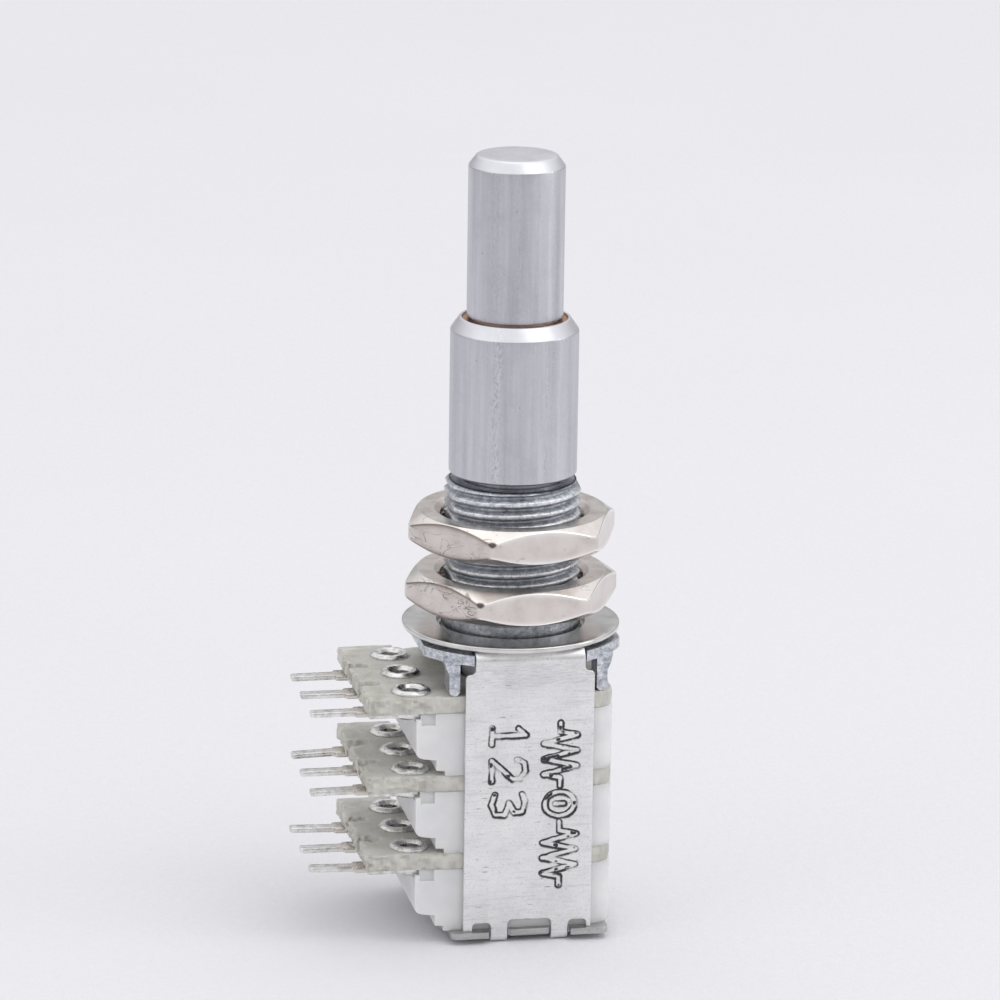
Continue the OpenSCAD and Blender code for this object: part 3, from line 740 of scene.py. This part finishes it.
def bushing():
    z0, zt = 0.15, BUSH_TOP
    zs = np.linspace(z0, zt, 210)
    outer = [(4.4, z) for z in zs]
    prof = outer + [(3.95, zt), (3.6, zt), (3.2, zt), (3.07, zt - 0.1), (3.05, zt - 0.2)] + \
        [(3.05, z) for z in np.linspace(zt - 1, z0, 8)]
    n_out = len(outer)

    def fn(T, R, Z):
        R = R.copy()
        idx = np.arange(R.shape[1])
        side = (idx < n_out)[None, :] & np.ones_like(R, bool)
        ph = (Z / PITCH - T / (2 * math.pi)) % 1.0
        tri = np.abs(2 * ph - 1)
        prof_t = smooth(0.06, 0.94, tri)
        depth = 0.42 * smooth(0.95, 1.35, Z + 0.08 * np.sin(T * 2))
        wob = 0.018 * fbm(np.cos(T) * 9, np.sin(T) * 9, Z * 2.2, 5)
        r = 4.4 - depth * (1 - prof_t) + wob * smooth(0.9, 1.4, Z) - 0.02
        # crests are flattened a little
        r = np.minimum(r, 4.36 + 0.02 * vnoise(np.cos(T) * 6, np.sin(T) * 6, Z * 1.5, 9))
        r = np.where(Z < 0.9, 4.36 + 0.012 * fbm(np.cos(T) * 5, np.sin(T) * 5, Z * 3, 3), r)
        # lead-in chamfer at the top
        r = np.minimum(r, 4.36 - 0.9 * np.maximum(0, Z - (zt - 0.36)) - 1.5 * np.maximum(0, Z - (zt - 0.1)))
        # the two flats where the die parts
        lim = (4.04 + 0.015 * vnoise(Z * 2, T * 0, T * 0, 4)) / np.maximum(np.abs(np.cos(T)), 1e-6)
        r = np.where(Z > 0.85, np.minimum(r, lim), r)
        R = np.where(side, r, R)
        return R * np.cos(T), R * np.sin(T), Z

    v, f = lathe(prof, 300, closed=True, fn=fn)
    # the casting's lower part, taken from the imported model
    bm = bmesh.new()
    bm.from_mesh(NODES["bushing"].data)
    bmesh.ops.remove_doubles(bm, verts=bm.verts, dist=1e-6)
    g = bm.verts[:] + bm.edges[:] + bm.faces[:]
    bmesh.ops.bisect_plane(bm, geom=g, plane_co=(0, 0, z0 * 0.001), plane_no=(0, 0, 1), clear_outer=True)
    hole = [e for e in bm.edges if len(e.link_faces) == 1]
    bmesh.ops.triangle_fill(bm, use_beauty=True, edges=hole)
    bmesh.ops.dissolve_limit(bm, angle_limit=math.radians(1.0), verts=bm.verts, edges=bm.edges)
    me = bpy.data.meshes.new("bushing_casting")
    bmesh.ops.recalc_face_normals(bm, faces=bm.faces)
    for q in bm.faces:
        q.smooth = True
    for e in bm.edges:
        e.smooth = len(e.link_faces) == 2 and e.calc_face_angle(0) < math.radians(35)
    bm.to_mesh(me)
    bm.free()
    low = bpy.data.objects.new("bushing_casting", me)
    scene.collection.objects.link(low)
    me.materials.append(CAST)
    bv = low.modifiers.new("edge", "BEVEL")
    bv.width, bv.segments, bv.limit_method, bv.angle_limit = 0.00006, 2, "ANGLE", math.radians(35)
    bv.harden_normals = False
    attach(low, "frame")
    # masks for the painted highlight on the thread crests and the painted shade in the grooves and on the plain part
    # below the thread
    cut = smooth(1.15, 1.4, v[:, 2]) * (np.hypot(v[:, 0], v[:, 1]) > 3.8)
    lift = np.clip((np.hypot(v[:, 0], v[:, 1]) - 3.98) / 0.34, 0, 1)
    o = build("bushing_thread", v, f, ZINC, "frame", "bushing", sharp=50,
              attr={"crest_highlight": cut * lift ** 4, "groove_and_ring_shade": np.clip(cut * (1 - lift) ** 2 + 0.9 * smooth(1.35, 1.1, v[:, 2]), 0, 1)})
    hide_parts("bushing")
    return o


bushing()

# ------------------------------------------------------------------ nuts
def nut(name, turn, seed):
    a, b = lo_hi(name)
    z0, h = a[2], b[2] - a[2]
    nth = 360
    half = 6.0
    rc = half - 0.1
    sl = 0.82 / 1.2
    cs = 4.82
    bore = 4.47
    # columns of the profile, from the bore round the outside and back
    zb = np.linspace(0.42, h - 0.42, 24)
    key = []
    key += [("b", bore, z) for z in zb]
    key += [("c", bore + 0.04, h - 0.33), ("c", cs - 0.06, h - 0.09), ("c", cs, h - 0.025), ("c", cs + 0.06, h), ("c", cs + 0.14, h)]
    key += [("c", cs + 0.5, h), ("c", rc - 0.25, h), ("c", rc - 0.1, h - 0.004)]
    key += [("k", f, 1) for f in (0.0, 0.25, 0.5, 0.75, 1.0)]
    key += [("w", f, 0) for f in (0.0, 0.33, 0.67, 1.0)]
    key += [("k", f, 0) for f in (1.0, 0.75, 0.5, 0.25, 0.0)]
    key += [("c", rc - 0.1, 0.004), ("c", rc - 0.25, 0), ("c", cs + 0.5, 0), ("c", cs + 0.14, 0), ("c", cs + 0.06, 0), ("c", cs, 0.025),
            ("c", cs - 0.06, 0.09), ("c", bore + 0.04, 0.33)]
    m = len(key)
    # more columns near the corners, so the corners stay crisp
    t = np.arange(nth) / nth * 6
    frac = t % 1.0
    warp = frac - 0.09 * np.sin(2 * math.pi * frac)
    T = (np.floor(t) + warp) * math.pi / 3 + math.radians(turn)
    ang = ((T - math.radians(turn)) % (math.pi / 3)) - math.pi / 6
    H = half / np.cos(ang)
    # slightly rounded corners
    H = H - 0.10 * smooth(6.70, 6.93, H) ** 1.2
    X = np.zeros((nth, m)); Y = np.zeros((nth, m)); Z = np.zeros((nth, m))
    for j, (kind, p, q) in enumerate(key):
        if kind == "b":
            R = np.full(nth, p)
            ph = ((q + z0) / PITCH - T / (2 * math.pi)) % 1.0
            R = R + 0.16 * (1 - np.abs(2 * ph - 1))
            z = np.full(nth, q)
        elif kind == "c":
            R, z = np.full(nth, p), np.full(nth, q)
        elif kind == "k":
            R = rc + (H - 0.035 - rc) * p
            drop = sl * np.maximum(R - rc, 0)
            z = h - drop if q else drop
        else:            # the arris between cone and wall is a narrow even band
            ze = sl * (H - rc) + 0.035
            z = (h - ze) + (2 * ze - h) * p
            R = H
        X[:, j], Y[:, j], Z[:, j] = R * np.cos(T), R * np.sin(T), z
    # small dents and unevenness from tumbling
    out = np.array([k[0] in "kw" for k in key])[None, :]
    d = 0.0035 * fbm(X * 0.6, Y * 0.6, Z * 0.6, seed)
    rad = np.sqrt(X * X + Y * Y)
    s = 1 - np.where(out, (0.012 + d) / rad, 0)
    v = np.stack([X * s, Y * s, Z + z0], -1).reshape(-1, 3)
    faces = [(i * m + j, ((i + 1) % nth) * m + j, ((i + 1) % nth) * m + (j + 1) % m, i * m + (j + 1) % m)
             for i in range(nth) for j in range(m)]
    # plating is cracked mostly on one flat; the same mask also picks out where the nut material paints shade on that
    # flat and its arris
    fa = np.arctan2(v[:, 1], v[:, 0]) - math.radians(turn - 150)
    fa = (fa + math.pi) % (2 * math.pi) - math.pi
    on_wall = np.broadcast_to(out, (nth, m)).reshape(-1)
    crack_and_shade = smooth(0.53, 0.47, np.abs(fa)) * on_wall
    # a dark burr where that flat's upper edge meets the next one
    ca = math.radians(turn - 120)
    cr = half / math.cos(math.pi / 6) - 0.12
    cp = np.array([cr * math.cos(ca), cr * math.sin(ca), z0 + h - sl * (cr - rc) - 0.05])
    burr = np.exp(-(np.linalg.norm((v - cp) * np.array([0.8, 0.8, 1.5]), axis=1) / 0.26) ** 2)

    def col(test):
        return np.broadcast_to(np.array([1.0 if test(k) else 0.0 for k in key])[None, :], (nth, m)).reshape(-1)

    return build(name + "_chamfered", v, faces, NICKEL, name, name, sharp=20,
                 attr={"crack_and_shade": crack_and_shade, "burr": burr, "flat": col(lambda k: k[0] == "w"), "cone": col(lambda k: k[0] == "k"),
                       "arris": col(lambda k: (k[0] == "k" and k[1] == 1.0) or (k[0] == "w" and k[1] in (0.0, 1.0)))})


nut("upper_nut", 9, 31)
nut("lower_nut", 3, 57)


# ------------------------------------------------------------------ washer
def washer():
    a, b = lo_hi("washer")
    t = b[2] - a[2]
    ro = b[0]
    p = [(4.65, 0, 0.05), (ro, 0, 0.12), (ro, t, 0.09), (4.65, t, 0.07)]
    pr = dense(fillet(p, closed=True, seg=4), 0.3, closed=True)

    def fn(T, R, Z):
        Z = Z - 0.012 * smooth(0.2, 0.0, ro - R) * (Z > t / 2)
        R = R - 0.015 - 0.01 * vnoise(np.cos(T) * 3, np.sin(T) * 3, Z, 8) * (R > 6)
        return R * np.cos(T), R * np.sin(T), Z
    v, f = lathe(pr, 240, closed=True, fn=fn)
    return build("washer_stamped", v, f, WASHER, "frame", "washer", sharp=30)


washer()

# ------------------------------------------------------------------ bracket: one sheet, cut, stamped and folded
T_SHEET = 0.4
LEG_Y = lo_hi("bracket")[1][1]
RB = 0.7                     # outer radius of the top bends
RF = 0.5                     # outer radius of the folds under the rear plate
L0 = LEG_Y - RB
ARC = math.pi / 2 * RB
Q_CORNER = -RB - STACK        # leg length below the top bend, to the corner legs' ends
Q_FOLD = -RB - (FOOT + RF)
Q_END = Q_FOLD + math.pi / 2 * RF + (1.6 - RF)


def sheet_place(x, s, w):
    """x across, s along the outer face from the web's middle, w depth from the outer face"""
    sg = np.where(s < 0, -1.0, 1.0)
    a = np.abs(s)
    Y = np.zeros_like(a); Z = np.zeros_like(a)
    web = a <= L0
    Y = np.where(web, a, Y); Z = np.where(web, -w, Z)
    bend = (a > L0) & (a <= L0 + ARC)
    th = (a - L0) / RB
    Y = np.where(bend, L0 + (RB - w) * np.sin(th), Y)
    Z = np.where(bend, -RB + (RB - w) * np.cos(th), Z)
    q = a - L0 - ARC
    leg = (q > 0) & (q <= Q_FOLD)
    Y = np.where(leg, LEG_Y - w, Y); Z = np.where(leg, -RB - q, Z)
    fold = (q > Q_FOLD) & (q <= Q_FOLD + math.pi / 2 * RF)
    th = (q - Q_FOLD) / RF
    Y = np.where(fold, LEG_Y - RF + (RF - w) * np.cos(th), Y)
    Z = np.where(fold, FOOT + RF - (RF - w) * np.sin(th), Z)
    tail = q > Q_FOLD + math.pi / 2 * RF
    qt = q - Q_FOLD - math.pi / 2 * RF
    Y = np.where(tail, LEG_Y - RF - qt, Y)
    Z = np.where(tail, FOOT + w, Z)
    return np.stack([x, sg * Y, Z], 1)


def stroke_zigzag(u0, n, du, v0, v1):
    p = [(u0, (v0 + v1) / 2)]
    for i in range(n):
        p.append((u0 + du * (i + 0.5), v1 if i % 2 == 0 else v0))
    p.append((u0 + du * n, (v0 + v1) / 2))
    return p


def marks():
    """generic stamped marks: terminal numbers and resistor symbols, in (u down the leg, v across)"""
    S = []
    # left column, three numerals turned on their side; v0 is the band's left, its tops face right
    v0, hgt = -2.22, 2.14
    def glyph(strokes, u):
        for st in strokes:
            S.append([(u + a * 1.5, v0 + b * hgt) for a, b in st])
    glyph([[(0.2, 0.78), (0.5, 1.0), (0.5, 0.0)], [(0.15, 0.0), (0.85, 0.0)]], 4.7)
    glyph([[(0.05, 0.75), (0.2, 0.96), (0.55, 1.0), (0.88, 0.85), (0.88, 0.62), (0.05, 0.0), (0.95, 0.0)]], 6.95)
    glyph([[(0.05, 0.9), (0.35, 1.0), (0.8, 0.92), (0.85, 0.68), (0.4, 0.53)], [(0.4, 0.53), (0.92, 0.4), (0.9, 0.12), (0.45, 0.0), (0.05, 0.1)]], 9.2)
    # right column: resistor, twice, with a ring between them
    r0, r1 = 1.06, 3.16
    mid = (r0 + r1) / 2
    for u in (4.75, 11.2):
        S.append([(u, mid), (u + 0.55, mid)])
        S.append(stroke_zigzag(u + 0.55, 6, 0.5, r0, r1))
        S.append([(u + 3.55, mid), (u + 4.1, mid)])
    c = [(10.0 + 0.78 * math.cos(t), mid + 0.95 * math.sin(t)) for t in np.linspace(0, 2 * math.pi, 25)]
    S.append(c)
    S.append([(10.0, mid - 0.25), (10.0, mid + 0.25)])
    return S


MARKS = marks()


def mark_distance(u, v):
    d = np.full(u.shape, 9.0)
    for st in MARKS:
        for (a, b), (c, e) in zip(st[:-1], st[1:]):
            L = max((c - a) ** 2 + (e - b) ** 2, 1e-9)
            t = np.clip(((u - a) * (c - a) + (v - b) * (e - b)) / L, 0, 1)
            d = np.minimum(d, np.hypot(u - a - t * (c - a), v - b - t * (e - b)))
    return d


def bracket():
    hw, nw, wr, lx, fx_ = 4.05, 3.45, 5.8, 0.15, 0.3
    sN = L0 + ARC + 0.72
    base = L0 + ARC
    sC = base + Q_CORNER

    def side(g):
        # one side of the back leg, from the web's side (s = 0) down to the middle notch
        xn = g * nw + lx
        a1 = math.acos(abs(xn) / wr)
        out = [(g * wr * math.cos(a1 * k / 12), wr * math.sin(a1 * k / 12)) for k in range(13)]
        out += [(xn, sN, 0.4), (g * hw + lx, sN, 0.3), (g * hw + lx, sC, 0.06), (g * 3.61 + fx_, sC, 0.06), (g * 3.61 + fx_, sC - 0.5, 0.3),
                (g * 2.46 + fx_, sC - 0.5, 0.3), (g * 2.46 + fx_, base + Q_END, 0.2), (g * 1.38 + fx_, base + Q_END, 0.2),
                (g * 1.38 + fx_, sC - 0.65, 0.3)]
        return out
    rt, lf = side(1), side(-1)
    flip = lambda pts: [(p[0], -p[1], *p[2:]) for p in pts]
    q = rt + lf[::-1]
    back_side = flip(lf) + flip(rt)[::-1]
    outl = fillet(q + back_side, closed=True, seg=6)
    # drop doubled points
    keep = [0]
    for i in range(1, len(outl)):
        if np.linalg.norm(outl[i] - outl[keep[-1]]) > 0.01:
            keep.append(i)
    outl = dense(outl[keep], 0.16, closed=True)
    hole = circle(0, 0, 4.42, 120)
    # finer points on the front leg, where the marks are
    gx = np.arange(-4.0, 4.01, 0.4)
    gs = np.concatenate([np.arange(-base - Q_END, base + Q_END, 0.4)])
    # rows close together round the bends
    extra = np.concatenate([np.linspace(L0 - 0.02, L0 + ARC + 0.02, 10), np.linspace(base + Q_FOLD - 0.02, base + Q_FOLD + math.pi / 2 * RF + 0.02, 8)])
    rows = np.unique(np.round(np.concatenate([gs, extra, -extra]), 4))
    G = np.array([(x, s) for s in rows for x in gx])
    fine_u = np.arange(4.05, 16.05, 0.055)
    fx = np.arange(-2.85, 3.75, 0.055)
    FG = np.array([(x, -(base + (u - RB))) for u in fine_u for x in fx])
    dist = mark_distance(-(FG[:, 1]) - base + RB, FG[:, 0])
    FG = FG[dist < 0.5]
    jit = np.random.default_rng(4).uniform(-0.003, 0.003, FG.shape)
    FG = FG + jit
    D = mark_distance(-(G[:, 1]) - base + RB, G[:, 0])
    G = G[~((D < 0.55) & (G[:, 1] < 0))]
    top = np.concatenate([G, FG])
    P, faces, raw = plate(outl, [hole], T_SHEET, sheet_place, rim=0.07, grid=(top, G), seg=3)
    # stamp the marks into the front leg's outer face
    x, s, w = raw[:, 0], raw[:, 1], raw[:, 2]
    u = -s - base + RB
    front = (s < -base) & (w < 0.01)
    d = mark_distance(u, x)
    n1 = 0.03 * vnoise(x * 3, u * 3, 0, 6)
    press = smooth(0.27, 0.15, d + n1) * front
    uneven = 0.75 + 0.25 * vnoise(x * 0.5, u * 0.5, 1, 12)
    P[:, 1] += press * 0.11 * uneven
    # painted shade along the walls of each pressed stroke, plus dark blotches inside the strokes
    wall = np.exp(-((d + n1 - 0.18) / 0.078) ** 2) * np.clip(0.85 + 0.55 * vnoise(x * 1.7, u * 1.7, 4, 21), 0.25, 1)
    blob = smooth(0.14, 0.05, d) * smooth(0.25, 0.6, vnoise(x * 2.6, u * 2.6, 9, 44)) * 0.9
    wall = np.maximum(wall, blob) * front
    return build("bracket_folded", P, faces, SHEET, "frame", "bracket", sharp=40, attr={"stamp_shade_and_blotches": np.clip(wall, 0, 1)})


bracket()

# ------------------------------------------------------------------ boards
def arc_pts(cx, cy, r, a0, a1, n):
    return [(cx + r * math.cos(math.radians(a0 + (a1 - a0) * k / n)), cy + r * math.sin(math.radians(a0 + (a1 - a0) * k / n))) for k in range(n + 1)]


def board(g):
    a, b = lo_hi(f"board_{g}")
    xl, xr, hy, hr = a[0], b[0], -a[1], b[1]      # hr: rear edge of the terminal end
    t = b[2] - a[2]
    p = [(xl + 0.08, -hy, 0.05)] + [(x, y) for x, y in arc_pts(xr - 1.5, -hy + 1.5, 1.5, -90, 0, 10)] + \
        [(x, y) for x, y in arc_pts(xr - 1.5, hy - 1.5, 1.5, 0, 90, 10)] + [(-6.4, hy, 0.1), (-6.4, hr, 0.15), (xl + 0.12, hr, 0.08), (xl, hr - 0.12, 0.08)]
    for y in (2.0, -2.0):
        p += [(xl, y + 0.36, 0.1), (xl + 0.6, y + 0.26, 0.1), (xl + 1.25, y + 0.2, 0.12), (xl + 1.25, y - 0.2, 0.12), (xl + 0.5, y - 0.25, 0.1), (xl, y - 0.34, 0.1)]
    p += [(xl, -hy + 0.1, 0.06)]
    outl = dense(fillet(p, closed=True, seg=4), 0.09, closed=True)
    holes = [circle(0, 0, 3.3, 96)] + [circle(-7, y, 0.8, 32) for y in (-4, 0, 4)]
    gx, gy = np.meshgrid(np.arange(xl, xr, 0.5), np.arange(-hy, hr, 0.5))
    G = np.stack([gx.ravel(), gy.ravel()], 1) + np.random.default_rng(g).uniform(-0.05, 0.05, (gx.size, 2))

    def rough(x, y, dep, li):
        if li:
            return np.zeros_like(x)
        left = smooth(-4.5, -6.5, x) * (0.3 + 0.7 * smooth(0.1, 0.9, hr - y))
        n = np.abs(fbm(x * 1.1, y * 1.1, dep * 1.6 + g * 7, 40 + g)) * 0.24 + np.abs(vnoise(x * 3, y * 3, dep * 4.0 + g, 60 + g)) * 0.16
        edge = 0.12 * np.maximum(0, fbm(x * 1.4, y * 1.4, 5 + g, 70)) * ((dep < 0.08) | (dep > t - 0.08))
        return 0.02 + n * left + edge + 0.05 * np.abs(vnoise(x * 3, y * 3, dep * 6, 9))

    def place(x, y, w):
        return np.stack([x, y, b[2] - w], 1)
    P, faces, raw = plate(outl, holes, t, place, rim=0.06, grid=(G, G), seg=2, rough=rough)
    dd = np.minimum.reduce([np.abs(raw[:, 0] - xl), np.abs(np.abs(raw[:, 1]) - hy), np.abs(raw[:, 1] - hr), np.abs(raw[:, 0] - xr) + 0.5])
    chip = smooth(0.3, 0.0, dd) * (0.45 + 0.55 * vnoise(raw[:, 0] * 2, raw[:, 1] * 2, raw[:, 2] * 3, 33 + g))
    return build(f"board_{g}_laminate", P, faces, BOARD, "frame", f"board_{g}", sharp=38, attr={"chip": np.clip(chip, 0, 1)})


for g in (1, 2, 3):
    board(g)


# ------------------------------------------------------------------ eyelets
def eyelets(g):
    top, und = TOP[g], UNDER[g] - 0.3
    parts = []
    for k, y in enumerate((-4, 0, 4)):
        seed = 10 * g + k
        p = [(0.6, und - 0.25, 0.04), (0.95, und - 0.25, 0.08), (1.1, und - 0.08, 0.05), (1.1, und), (0.8, und), (0.8, top), (1.275, top, 0.03),
             (1.25, top + 0.12, 0.06), (1.08, top + 0.29, 0.12), (0.82, top + 0.28, 0.12), (0.62, top + 0.05, 0.1)]
        pr = fillet(p, closed=True, seg=4)

        def fn(T, R, Z, seed=seed):
            up_ = smooth(top + 0.02, top + 0.25, Z)
            lob = np.sin(T * 4 + seed) * 0.5 + vnoise(np.cos(T) * 2.2, np.sin(T) * 2.2, seed, seed)
            R = R * (1 + 0.022 * up_ * lob) - 0.012
            Z = Z + 0.02 * up_ * vnoise(np.cos(T) * 3, np.sin(T) * 3, seed * 2, 5) - 0.02 * up_
            return R * np.cos(T), R * np.sin(T), Z
        v, f = lathe(pr, 72, closed=True, fn=fn)
        parts.append((v + np.array([-7, y, 0]), f))
    V, F = join(parts)
    return build(f"eyelets_{g}_rolled", V, F, TIN, "frame", f"eyelets_{g}", sharp=45)


# ------------------------------------------------------------------ terminals
TIPS = {1: (-0.03, 0.02, -0.08), 2: (-0.12, 0.0, -0.3), 3: (0.2, 0.0, 0.2)}   # sideways set of the tips, from y=-4 to 4


def terminals(g):
    z = UNDER[g]
    a, b = lo_hi(f"terminals_{g}")
    parts = []
    for k, y in enumerate((-4, 0, 4)):
        tip = a[0]
        hw = 0.425
        p = [(tip, -hw + 0.12, 0.05), (tip + 0.16, -hw, 0.05), (-10.62, -hw, 0.1), (-10.48, -0.72, 0.1), (-9.8, -0.75), (-9.78, -1.2, 0.1), (-7, -1.2)]
        p += [(x, yy) for x, yy in arc_pts(-7, 0, 1.2, -80, 80, 14)]
        p += [(-7, 1.2), (-9.78, 1.2, 0.1), (-9.8, 0.75), (-10.48, 0.72, 0.1), (-10.62, hw, 0.1), (tip + 0.16, hw, 0.05), (tip, hw - 0.12, 0.05)]
        outl = dense(fillet(p, closed=True, seg=3), 0.2, closed=True)
        set_ = TIPS[g][k]

        def place(x, yy, w, set_=set_, y=y, g=g, k=k):
            f = np.clip((-10.5 - x) / 2.8, 0, 1) ** 1.3
            return np.stack([x, yy + y + set_ * f, z - w - 0.0 * f], 1)
        gx = np.array([(x, yy) for x in np.arange(tip, -6, 0.3) for yy in (-0.2, 0.2)])
        P, F, raw = plate(outl, [circle(-7, 0, 0.8, 32)], 0.3, place, rim=0.05, grid=(gx, gx), seg=2)
        parts.append((P, F))
    V, F = join(parts)
    return build(f"terminals_{g}_cut", V, F, TIN, "frame", f"terminals_{g}", sharp=40)


for g in (1, 2, 3):
    eyelets(g)
    terminals(g)

# ------------------------------------------------------------------ nodes kept from the CAD model
def dress(node, mat, bevel=0.0, seg=2):
    o = NODES[node]
    o.data.materials.clear()
    o.data.materials.append(mat)
    for p in o.data.polygons:
        p.use_smooth = True
    if bevel:
        w = o.modifiers.new("weld", "WELD")
        w.merge_threshold = 1e-6
        m = o.modifiers.new("edge", "BEVEL")
        m.width, m.segments, m.limit_method, m.angle_limit = bevel * 0.001, seg, "ANGLE", math.radians(40)
        m.use_clamp_overlap = True
        n = o.modifiers.new("normals", "WEIGHTED_NORMAL")
        n.keep_sharp = False
    return o


for g in (1, 2, 3):
    dress(f"housing_{g}", WHITE, 0.09, 3)
    dress(f"track_{g}", INK)
    dress(f"rotor_{g}", ROTOR, 0.05)
    dress(f"wiper_{g}", SPRING)
# painted shade: the rear plate gets a darker copy of the tin sheet material, standing in for the shade it sits in
dress("rear_plate", mat_sheet("tin_sheet_shaded", 0.62), 0.06, 2)
dress("outer_clip", CLIP, 0.05)
dress("inner_clip", CLIP, 0.04)

# ------------------------------------------------------------------ floor and light
def floor():
    n = 60
    xs = np.linspace(-900, 900, n)
    ys = np.linspace(-600, 1600, n)
    V = [(x, y, FOOT + 0.0) for x in xs for y in ys]
    F = [(i * n + j, (i + 1) * n + j, (i + 1) * n + j + 1, i * n + j + 1) for i in range(n - 1) for j in range(n - 1)]
    me = bpy.data.meshes.new("floor")
    me.from_pydata([tuple(c * 0.001 for c in v) for v in V], [], F)
    o = bpy.data.objects.new("floor", me)
    scene.collection.objects.link(o)
    me.materials.append(mat_floor())


floor()


def area(name, loc, target, size, power, color=(1, 1, 1), size_y=None):
    l = bpy.data.lights.new(name, "AREA")
    l.shape = "RECTANGLE"
    l.size, l.size_y = size, size_y or size
    l.energy = power
    l.color = color
    o = bpy.data.objects.new(name, l)
    scene.collection.objects.link(o)
    o.location = loc
    o.rotation_euler = (Vector(target) - Vector(loc)).to_track_quat("-Z", "Y").to_euler()
    return o


area("key", (0.45, -0.35, 0.75), (0, 0, 0.0), 0.55, 0.98, (1.0, 0.99, 0.98))
area("side", (0.42, -0.12, 0.10), (0, 0, 0.01), 0.16, 0.22, (1.0, 0.99, 0.98))
area("fill", (-0.7, -0.25, 0.35), (0, 0, 0.0), 0.6, 0.5, (0.98, 0.99, 1.0))
area("top", (0.0, 0.25, 0.9), (0, 0, 0.0), 0.8, 0.7)

w = bpy.data.worlds.new("world")
scene.world = w
w.use_nodes = True
wn = w.node_tree.nodes
bg = wn["Background"]
tc = wn.new("ShaderNodeTexCoord")
sx = wn.new("ShaderNodeSeparateXYZ")
w.node_tree.links.new(tc.outputs["Generated"], sx.inputs[0])
rp = wn.new("ShaderNodeValToRGB")
el = rp.color_ramp.elements
el.new(0.5)
el.new(0.5)
for e, (pos, val) in zip(el, ((0.0, 0.38), (0.22, 0.47), (0.5, 0.93), (1.0, 1.0))):
    e.position, e.color = pos, (val, val, val * 1.02, 1)
w.node_tree.links.new(sx.outputs[2], rp.inputs["Fac"])
w.node_tree.links.new(rp.outputs["Color"], bg.inputs["Color"])
bg.inputs["Strength"].default_value = 0.985

scene.view_settings.view_transform = "Standard"
scene.view_settings.look = "None"
